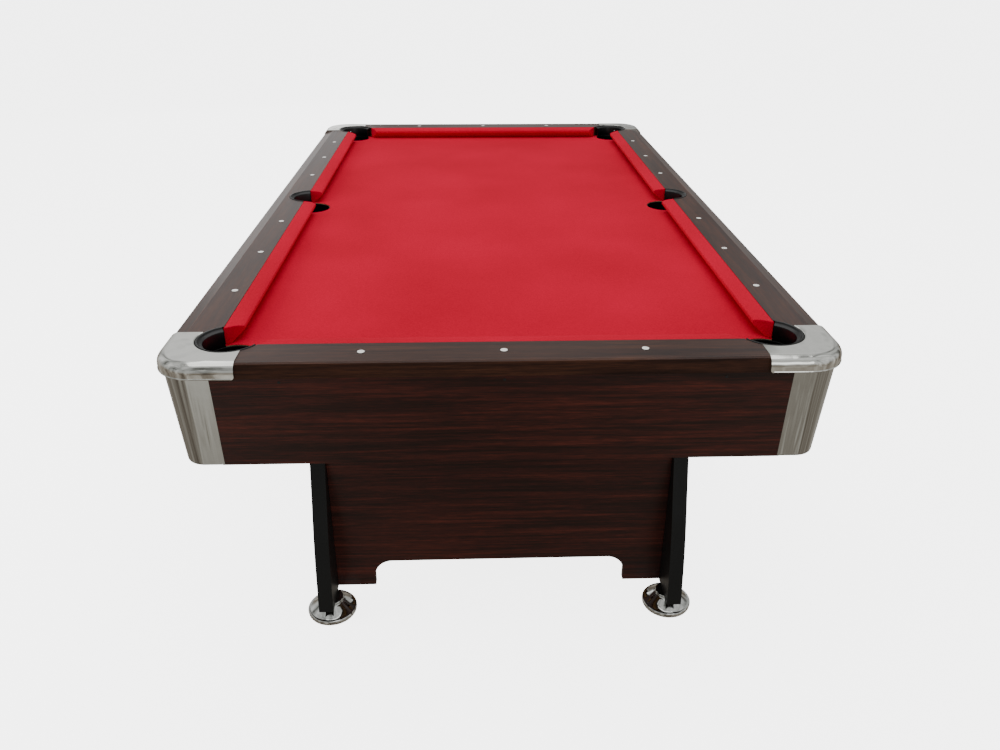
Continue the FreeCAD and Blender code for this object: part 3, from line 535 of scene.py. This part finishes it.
white_inlay = plastic("white_acrylic_inlay", "FDFBF6", 0.12)
black_ring = plastic("black_acrylic_ring", "0C0C0D", 0.3)
markers = bmesh.new()
for x, y in marker_centres():
    turned(markers, INLAY_SECTION, (x, y, RAIL_TOP), steps=MARKER_STEPS)
ring_from = len(markers.faces)
for x, y in marker_centres():
    turned(markers, RING_SECTION, (x, y, RAIL_TOP), steps=MARKER_STEPS)
markers.faces.ensure_lookup_table()
for face in markers.faces[ring_from:]:
    face.material_index = 1
make_piece("rail_marker_inlays", markers, [white_inlay, black_ring], ["rail_markers"])


# ---------------------------------------------------------------------------------------------
# Chrome plate: a bright mirror over castings and formed sheet. It is a little wavy and faintly
# smudged, so that reflections bend and soften in places.
SMUDGES_PER_METRE = 26.0


def chrome_plate(name, wave, wave_size, colour):
    """Plating over a surface with waves of a depth and a size along each axis, both in metres."""
    material, tree, shader, where = new_material(name)
    waves = add_node(
        tree, "ShaderNodeMapping", {"Scale": [1 / s for s in wave_size]}, {"Vector": where}
    )
    swell = add_node(
        tree, "ShaderNodeTexNoise", {"Scale": 1.0, "Detail": 2.0}, {"Vector": waves.outputs[0]}
    )
    bump = add_node(
        tree, "ShaderNodeBump", {"Strength": 1.0, "Distance": wave}, {"Height": swell.outputs[0]}
    )
    smudge = add_node(
        tree, "ShaderNodeTexNoise", {"Scale": SMUDGES_PER_METRE, "Detail": 5.0}, {"Vector": where}
    )
    rough = add_node(
        tree, "ShaderNodeMapRange",
        {"From Min": 0.35, "From Max": 0.75, "To Min": 0.05, "To Max": 0.16},
        {"Value": smudge.outputs[0]},
    )
    tree.links.new(rough.outputs[0], shader.inputs["Roughness"])
    tree.links.new(bump.outputs[0], shader.inputs["Normal"])
    set_shader(shader, {"Base Color": linear(colour), "Metallic": 1.0})
    return material


cast_chrome = chrome_plate("chrome_plated_casting", 0.0080, (0.11, 0.11, 0.11), "D4D4CF")
sheet_chrome = chrome_plate("chrome_plated_sheet", 0.0011, (0.026, 0.026, 0.4), "B2B3AF")


# Corner castings: caps with a broad rounded shoulder, a bright bead along the bottom edge and
# a rounded rim at the notch for the pocket liner. Their arms end over the ends of the rails.
CASTING_TOP = 0.8
CASTING_DEPTH = 0.0336
CASTING_ROUND = 0.022
CASTING_CORNER_R = 0.088
LINER_NOTCH_R = 0.0703
BEAD_R = 0.0022
BEAD_PROUD = 0.0010
RIM_ROUND = 0.0026
ARM_END_X, ARM_END_Y = 0.5365, 1.1065
ARM_CORNER_R = 0.007


def arc_points(centre, radius, start, stop, steps):
    """Points along an arc, between two angles in degrees."""
    angles = [math.radians(start + (stop - start) * i / steps) for i in range(steps + 1)]
    return [(centre[0] + radius * math.cos(a), centre[1] + radius * math.sin(a)) for a in angles]


def bead_along(bm, path, radius, sides=8):
    """A closed round bead swept along a line of points, with its ends capped."""
    path = [Vector(p) for p in path]
    rings = []
    for i, point in enumerate(path):
        ahead = path[min(i + 1, len(path) - 1)] - path[max(i - 1, 0)]
        turn = ahead.to_track_quat("Z", "Y").to_matrix().to_4x4()
        made = bmesh.ops.create_circle(
            bm, cap_ends=i in (0, len(path) - 1), segments=sides, radius=radius,
            matrix=Matrix.Translation(point) @ turn,
        )
        rings.append(made["verts"])
    for one, other in zip(rings, rings[1:]):
        loops = [
            e for ring in (one, other)
            for e in {e for v in ring for e in v.link_edges if e.other_vert(v) in ring}
        ]
        bmesh.ops.bridge_loops(bm, edges=loops)
    faces = list({f for ring in rings for v in ring for f in v.link_faces})
    bmesh.ops.recalc_face_normals(bm, faces=faces)


def casting_mesh(pocket):
    """The head right corner's casting."""
    low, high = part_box("corner_casting_head_right")
    outer_x, outer_y = high.x - BEAD_PROUD, high.y - BEAD_PROUD
    round_at = (outer_x - CASTING_CORNER_R, outer_y - CASTING_CORNER_R)
    corner_arc = arc_points(round_at, CASTING_CORNER_R, 90, 0, 20)
    from_end = math.degrees(math.asin((ARM_END_Y - pocket[1]) / LINER_NOTCH_R))
    to_end = math.degrees(math.acos((ARM_END_X - pocket[0]) / LINER_NOTCH_R))
    notch = arc_points(pocket, LINER_NOTCH_R, from_end, to_end, 28)
    bm = bmesh.new()
    outline = [(ARM_END_X, outer_y)] + corner_arc + [(outer_x, ARM_END_Y)] + notch
    top = bm.faces.new([bm.verts.new((x, y, CASTING_TOP)) for x, y in outline])
    grown = bmesh.ops.extrude_face_region(bm, geom=[top])
    lower = [g for g in grown["geom"] if isinstance(g, bmesh.types.BMVert)]
    bmesh.ops.translate(bm, verts=lower, vec=(0, 0, -CASTING_DEPTH))
    bmesh.ops.recalc_face_normals(bm, faces=bm.faces)

    def on_outside(vert):
        straight = vert.co.x > outer_x - 0.0005 or vert.co.y > outer_y - 0.0005
        from_round = (Vector(vert.co[:2]) - Vector(round_at)).length
        past_round = vert.co.x > round_at[0] and vert.co.y > round_at[1]
        return straight or (past_round and from_round > CASTING_CORNER_R - 0.0005)

    arm_feet = [
        e for e in bm.edges
        if all(v.co.z < CASTING_TOP - 0.001 for v in e.verts)
        and (all(abs(v.co.x - ARM_END_X) < 0.0001 for v in e.verts)
             or all(abs(v.co.y - ARM_END_Y) < 0.0001 for v in e.verts))
    ]
    bmesh.ops.bevel(
        bm, geom=arm_feet, offset=ARM_CORNER_R, segments=5, profile=0.5, material=-1, affect="EDGES"
    )
    shoulder = [
        e for e in bm.edges
        if all(v.co.z > CASTING_TOP - 0.001 and on_outside(v) for v in e.verts)
    ]
    bmesh.ops.bevel(
        bm, geom=shoulder, offset=CASTING_ROUND, segments=10, profile=0.5, material=-1, affect="EDGES"
    )
    rim = [
        e for e in bm.edges
        if all(v.co.z > CASTING_TOP - 0.0001 for v in e.verts)
        and all(
            abs((Vector(v.co[:2]) - Vector(pocket)).length - LINER_NOTCH_R) < 0.0002
            for v in e.verts
        )
    ]
    bmesh.ops.bevel(
        bm, geom=rim, offset=RIM_ROUND, segments=4, profile=0.5, material=-1, affect="EDGES"
    )
    inset = BEAD_R - BEAD_PROUD
    foot = low.z + BEAD_R
    hem = [(ARM_END_X + ARM_CORNER_R, outer_y - inset, foot)]
    hem += [(x, y, foot) for x, y in arc_points(round_at, CASTING_CORNER_R - inset, 90, 0, 24)]
    hem += [(outer_x - inset, ARM_END_Y + ARM_CORNER_R, foot)]
    bead_along(bm, hem, BEAD_R)
    return bm


def mirrored(bm, x_sign, y_sign):
    """Turns the head right corner's mesh into any corner's, with its faces still outward."""
    bmesh.ops.scale(bm, vec=(x_sign, y_sign, 1), verts=bm.verts)
    if x_sign * y_sign < 0:
        bmesh.ops.reverse_faces(bm, faces=bm.faces)
    return bm


CORNER_POCKET = (0.573, 1.139)
SIDE_POCKET = (0.587, 0.0)
for corner_name, (x_sign, y_sign) in CORNERS.items():
    casting = mirrored(casting_mesh(CORNER_POCKET), x_sign, y_sign)
    node = f"corner_casting_{corner_name}"
    make_piece(
        f"{node}_plated", casting, [cast_chrome], [node], flat_sided=True
    )


# Corner skirts: chromed sheet bent round the cabinet's corners, leaning in towards the bottom,
# with a flat that laps a little over each apron and a rolled bottom edge.
SKIRT_SHEET = 0.002
SKIRT_BEND_R = 0.062
SKIRT_LEAN = 0.016
SKIRT_PROUD = 0.0006
SKIRT_LAP = 0.004


def skirt_mesh():
    """The head right corner's skirt."""
    low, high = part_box("corner_skirt_head_right")
    centre = Vector((high.x - SKIRT_BEND_R, high.y - SKIRT_BEND_R, 0))
    top_r = SKIRT_BEND_R + SKIRT_PROUD
    foot_r = top_r - SKIRT_LEAN
    profile = [
        (top_r, high.z), (foot_r + 0.0003, low.z + 0.004), (foot_r - 0.0006, low.z + 0.0012),
        (foot_r - 0.0022, low.z), (foot_r - 0.0042, low.z + 0.0004), (foot_r - 0.0046, low.z + 0.002),
        (foot_r - SKIRT_SHEET, low.z + 0.0045), (top_r - SKIRT_SHEET, high.z),
    ]
    bm = bmesh.new()
    section = bm.faces.new([bm.verts.new((centre.x + r, centre.y, z)) for r, z in profile])
    reach_y, reach_x = centre.y - low.y + SKIRT_LAP, centre.x - low.x + SKIRT_LAP
    grown = bmesh.ops.extrude_face_region(bm, geom=[section], use_keep_orig=True)
    near = [g for g in grown["geom"] if isinstance(g, bmesh.types.BMVert)]
    bmesh.ops.translate(bm, verts=near, vec=(0, -reach_y, 0))
    spun = bmesh.ops.spin(
        bm, geom=[section] + list(section.verts) + list(section.edges), cent=centre,
        axis=(0, 0, 1), angle=math.pi / 2, steps=24,
    )
    last = [g for g in spun["geom_last"] if isinstance(g, bmesh.types.BMFace)]
    grown = bmesh.ops.extrude_face_region(bm, geom=last)
    far = [g for g in grown["geom"] if isinstance(g, bmesh.types.BMVert)]
    bmesh.ops.translate(bm, verts=far, vec=(-reach_x, 0, 0))
    bmesh.ops.remove_doubles(bm, verts=bm.verts, dist=0.000001)
    buried = [
        f for f in bm.faces
        if len(f.verts) == len(profile) and all(len(e.link_faces) > 2 for e in f.edges)
    ]
    bmesh.ops.delete(bm, geom=buried, context="FACES_ONLY")
    bmesh.ops.recalc_face_normals(bm, faces=bm.faces)
    open_edges = [e for e in bm.edges if not e.is_manifold]
    assert not open_edges, f"{len(open_edges)} open edges in the skirt"
    return bm


for corner_name, (x_sign, y_sign) in CORNERS.items():
    skirt = mirrored(skirt_mesh(), x_sign, y_sign)
    node = f"corner_skirt_{corner_name}"
    make_piece(
        f"{node}_plated", skirt, [sheet_chrome], [node], flat_sided=True
    )


# ---------------------------------------------------------------------------------------------
# Pocket liners: moulded black plastic cups. A broad rounded lip stands round the back of each
# pocket above the bed, and below the bed the cup is a full round with a closed floor.
THROAT_R = 0.055
LIP_R = 0.0697
CUP_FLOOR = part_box("pocket_liner_left")[0].z
CUP_RIM = 0.7562
black_plastic = plastic("moulded_black_plastic", "060607", 0.32, speck=0.08)
set_shader(black_plastic.node_tree.nodes["Principled BSDF"], {"Specular IOR Level": 0.3})

# Both sections are points of radius and height.
LIP_SECTION = [
    (THROAT_R, 0.7565), (THROAT_R, 0.7900), (THROAT_R + 0.0008, 0.7922), (THROAT_R + 0.0028, 0.7934),
    (THROAT_R + 0.0060, 0.7942), (LIP_R - 0.0058, 0.7966), (LIP_R - 0.0048, 0.7988),
    (LIP_R - 0.0030, 0.7997), (LIP_R - 0.0012, 0.7993), (LIP_R, 0.7976), (LIP_R, 0.7890),
    (THROAT_R + 0.003, 0.7890), (THROAT_R + 0.003, 0.7565),
]
CUP_SECTION = [
    (0.0, CUP_FLOOR), (0.050, CUP_FLOOR), (0.0565, CUP_FLOOR + 0.004), (0.058, CUP_FLOOR + 0.012),
    (0.058, CUP_RIM - 0.001), (0.0572, CUP_RIM), (0.0558, CUP_RIM), (THROAT_R, CUP_RIM - 0.001),
    (THROAT_R, CUP_FLOOR + 0.014), (0.052, CUP_FLOOR + 0.006), (0.046, CUP_FLOOR + 0.004),
    (0.0, CUP_FLOOR + 0.004),
]


def liner_mesh(centre, facing, half_opening):
    """A cup with its lip; facing is the angle of the lip's middle, away from the bed."""
    bm = bmesh.new()
    place = (centre[0], centre[1], 0)
    turned(bm, CUP_SECTION, place, steps=56)
    first = len(bm.faces)
    turn = Matrix.Rotation(facing - half_opening, 3, "Z")
    verts = [bm.verts.new(Vector(place) + turn @ Vector((r, 0, z))) for r, z in LIP_SECTION]
    face = bm.faces.new(verts)
    bmesh.ops.spin(
        bm, geom=[face] + verts + list(face.edges), cent=place, axis=(0, 0, 1),
        angle=2 * half_opening, steps=44,
    )
    bm.faces.ensure_lookup_table()
    bmesh.ops.recalc_face_normals(bm, faces=bm.faces[first:])
    return bm


def make_liner(name, centre, facing, half_opening):
    """One liner, with its angles in degrees."""
    bm = liner_mesh(centre, math.radians(facing), math.radians(half_opening))
    node = f"pocket_liner_{name}"
    make_piece(f"{node}_moulded", bm, [black_plastic], [node])


for corner_name, (x_sign, y_sign) in CORNERS.items():
    facing = math.degrees(math.atan2(y_sign, x_sign))
    make_liner(corner_name, (x_sign * CORNER_POCKET[0], y_sign * CORNER_POCKET[1]), facing, 108)
for side_name, x_sign in (("left", -1), ("right", 1)):
    make_liner(side_name, (x_sign * SIDE_POCKET[0], 0), 0 if x_sign > 0 else 180, 77)


# ---------------------------------------------------------------------------------------------
# Legs: thick boards in satin black lacquer with softly rounded edges.
LEG_EDGE = 0.0025


def black_lacquer():
    """Sprayed lacquer: near black, with the faint orange peel of a sprayed coat."""
    material, tree, shader, where = new_material("satin_black_lacquer")
    peel = add_node(tree, "ShaderNodeTexNoise", {"Scale": 420.0, "Detail": 2.0}, {"Vector": where})
    dust = add_node(tree, "ShaderNodeTexNoise", {"Scale": 9.0, "Detail": 5.0}, {"Vector": where})
    bump = add_node(
        tree, "ShaderNodeBump", {"Strength": 0.15, "Distance": 0.0003}, {"Height": peel.outputs[0]}
    )
    rough = add_node(
        tree, "ShaderNodeMapRange", {"To Min": 0.32, "To Max": 0.5}, {"Value": dust.outputs[0]}
    )
    tree.links.new(bump.outputs[0], shader.inputs["Normal"])
    tree.links.new(rough.outputs[0], shader.inputs["Roughness"])
    set_shader(shader, {"Base Color": linear("141617"), "Specular IOR Level": 0.3})
    return material


lacquer = black_lacquer()
for corner_name in CORNERS:
    leg = merged_copy(f"leg_{corner_name}")
    bevel_sharp(leg, LEG_EDGE, 3)
    make_piece(
        f"leg_{corner_name}_lacquered", leg, [lacquer], [f"leg_{corner_name}"],
        flat_sided=True,
    )


# ---------------------------------------------------------------------------------------------
# Screw feet: chromed turned feet, a broad disc with a rolled rim that rises in a cone to
# a neck. A zinc plated stem with a 2 mm thread turns in each and screws into the leg.
# The bore in this section ends above the stem's flange, so the flange is buried in the pad.
FOOT_SECTION = [
    (0.0, 0.0), (0.0570, 0.0), (0.0596, 0.0012), (0.0612, 0.0040), (0.0620, 0.0095), (0.0617, 0.0125),
    (0.0602, 0.0145), (0.0580, 0.0150), (0.0566, 0.0147), (0.0552, 0.0152), (0.0440, 0.0250),
    (0.0350, 0.0330), (0.0322, 0.0354), (0.0314, 0.0358), (0.0308, 0.0366), (0.0300, 0.0374),
    (0.0300, 0.0425), (0.0290, 0.0437), (0.0090, 0.0437), (0.0083, 0.0430), (0.0083, 0.0235),
    (0.0, 0.0235),
]
PITCH = 0.002
THREAD_FROM, THREAD_TURNS = 0.0245, 42


def zinc_plate():
    """Dull bright zinc: grey, and a little cloudy in its gloss."""
    material, tree, shader, where = new_material("zinc_plated_steel")
    cloud = add_node(tree, "ShaderNodeTexNoise", {"Scale": 60.0, "Detail": 4.0}, {"Vector": where})
    rough = add_node(
        tree, "ShaderNodeMapRange", {"To Min": 0.28, "To Max": 0.46}, {"Value": cloud.outputs[0]}
    )
    tree.links.new(rough.outputs[0], shader.inputs["Roughness"])
    set_shader(shader, {"Base Color": linear("B9BDBF"), "Metallic": 1.0})
    return material


def stem_mesh(centre):
    """A plain core with its flange, and one ridge wound round it as the thread."""
    bm = bmesh.new()
    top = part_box("foot_stem_foot_left")[1].z
    core = [
        (0.0, 0.0143), (0.0132, 0.0143), (0.0139, 0.0150), (0.0139, 0.0215), (0.0132, 0.0222),
        (0.0070, 0.0222), (0.0070, top - 0.001), (0.0060, top), (0.0, top),
    ]
    turned(bm, core, (centre[0], centre[1], 0), steps=24)
    first = len(bm.faces)
    ridge = [(0.0069, -0.0008), (0.0079, -0.0001), (0.0079, 0.0001), (0.0069, 0.0008)]
    start = Vector((centre[0], centre[1], THREAD_FROM))
    verts = [bm.verts.new(start + Vector((r, 0, z))) for r, z in ridge]
    face = bm.faces.new(verts)
    steps = 12 * THREAD_TURNS
    bmesh.ops.spin(
        bm, geom=[face] + verts + list(face.edges), cent=start, axis=(0, 0, 1),
        dvec=(0, 0, PITCH / 12), angle=math.tau * THREAD_TURNS, steps=steps,
    )
    bm.faces.ensure_lookup_table()
    bmesh.ops.recalc_face_normals(bm, faces=bm.faces[first:])
    return bm


turned_chrome = chrome_plate("chrome_plated_foot", 0.0002, (0.03, 0.03, 0.03), "C4C5C2")
zinc = zinc_plate()
for corner_name, (x_sign, y_sign) in CORNERS.items():
    centre = sum(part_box(f"foot_pad_{corner_name}"), Vector()) / 2
    foot = bmesh.new()
    turned(foot, FOOT_SECTION, (centre[0], centre[1], 0), steps=72)
    pad_node, stem_node = f"foot_pad_{corner_name}", f"foot_stem_{corner_name}"
    make_piece(
        f"{pad_node}_turned", foot, [turned_chrome], [pad_node], f"foot_{corner_name}"
    )
    stem = stem_mesh(centre)
    make_piece(
        f"{stem_node}_threaded", stem, [zinc], [stem_node], f"stem_{corner_name}"
    )


# ---------------------------------------------------------------------------------------------
# Pocket screws: two bright pan-head screws through the back wall of each liner.
SCREW_HEAD = [
    (0.0, 0.0018), (0.0012, 0.0017), (0.0024, 0.0011), (0.0030, 0.0002), (0.0030, -0.0010),
]
SCREW_Z = 0.777
SCREW_SIDE = 0.012
liner_screws = bmesh.new()
places = [
    (x * CORNER_POCKET[0], y * CORNER_POCKET[1], math.atan2(y, x)) for x, y in CORNERS.values()
]
places += [(SIDE_POCKET[0], 0, 0.0), (-SIDE_POCKET[0], 0, math.pi)]
for x, y, facing in places:
    for side in (-SCREW_SIDE, SCREW_SIDE):
        depth = math.sqrt(THROAT_R**2 - side**2) - 0.0004
        head = bmesh.new()
        turned(head, SCREW_HEAD, (0, 0, 0), steps=16)
        place = Matrix.Translation((x, y, SCREW_Z)) @ Matrix.Rotation(facing, 4, "Z")
        place = place @ Matrix.Translation((depth, side, 0)) @ Matrix.Rotation(-math.pi / 2, 4, "Y")
        bmesh.ops.transform(head, matrix=place, verts=head.verts)
        scratch = bpy.data.meshes.new("screw_head")
        head.to_mesh(scratch)
        head.free()
        liner_screws.from_mesh(scratch)
        bpy.data.meshes.remove(scratch)
make_piece("pocket_screw_heads", liner_screws, [zinc], ["pocket_screws"])


# ---------------------------------------------------------------------------------------------
# Inner parts that keep their CAD shape: the raw fibreboard bed, the bearers of plain softwood,
# the bolts and sleeves of zinc plated steel, and the small blackened screws of the aprons.
GRAIN_PER_METRE, GRAIN_PER_METRE_LONG = 60.0, 4.0
BOARD_STOPS = (0.35, 0.5, 0.68)


def raw_board(name, long_axis, colours):
    """Unfinished wood or board, with its grain drawn out along one axis."""
    material, tree, shader, where = new_material(name)
    scale = [GRAIN_PER_METRE] * 3
    scale[long_axis] = GRAIN_PER_METRE_LONG
    placed = add_node(tree, "ShaderNodeMapping", {"Scale": scale}, {"Vector": where})
    grain = add_node(
        tree, "ShaderNodeTexNoise", {"Scale": 1.0, "Detail": 5.0, "Distortion": 0.4},
        {"Vector": placed.outputs[0]},
    )
    ramp = add_node(
        tree, "ShaderNodeValToRGB", {"stops": list(zip(BOARD_STOPS, colours))},
        {"Fac": grain.outputs[0]},
    )
    bump = add_node(
        tree, "ShaderNodeBump", {"Strength": 0.25, "Distance": 0.0005}, {"Height": grain.outputs[0]}
    )
    tree.links.new(ramp.outputs[0], shader.inputs["Base Color"])
    tree.links.new(bump.outputs[0], shader.inputs["Normal"])
    set_shader(shader, {"Roughness": 0.78})
    return material


def repaint(node, material):
    """Gives a CAD node that keeps its shape a better material."""
    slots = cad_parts[node].material_slots
    for slot in slots:
        slot.material = material


fibreboard = raw_board("raw_fibreboard", 2, ("8A6B4A", "9C7B57", "AC8B66"))
softwood_x = raw_board("planed_softwood_across", 0, ("B08A5C", "C7A273", "D8B88C"))
softwood_y = raw_board("planed_softwood_along", 1, ("B08A5C", "C7A273", "D8B88C"))
black_oxide = plastic("black_oxide_screw", "1A1A1B", 0.4)
repaint("bed_slab", fibreboard)
repaint("cross_bearers", softwood_x)
for side_name in ("left", "right"):
    repaint(f"long_bearer_{side_name}", softwood_y)
for node in ("foot_inserts", "rail_bolts", "leg_bolts"):
    repaint(node, zinc)
repaint("apron_screws", black_oxide)
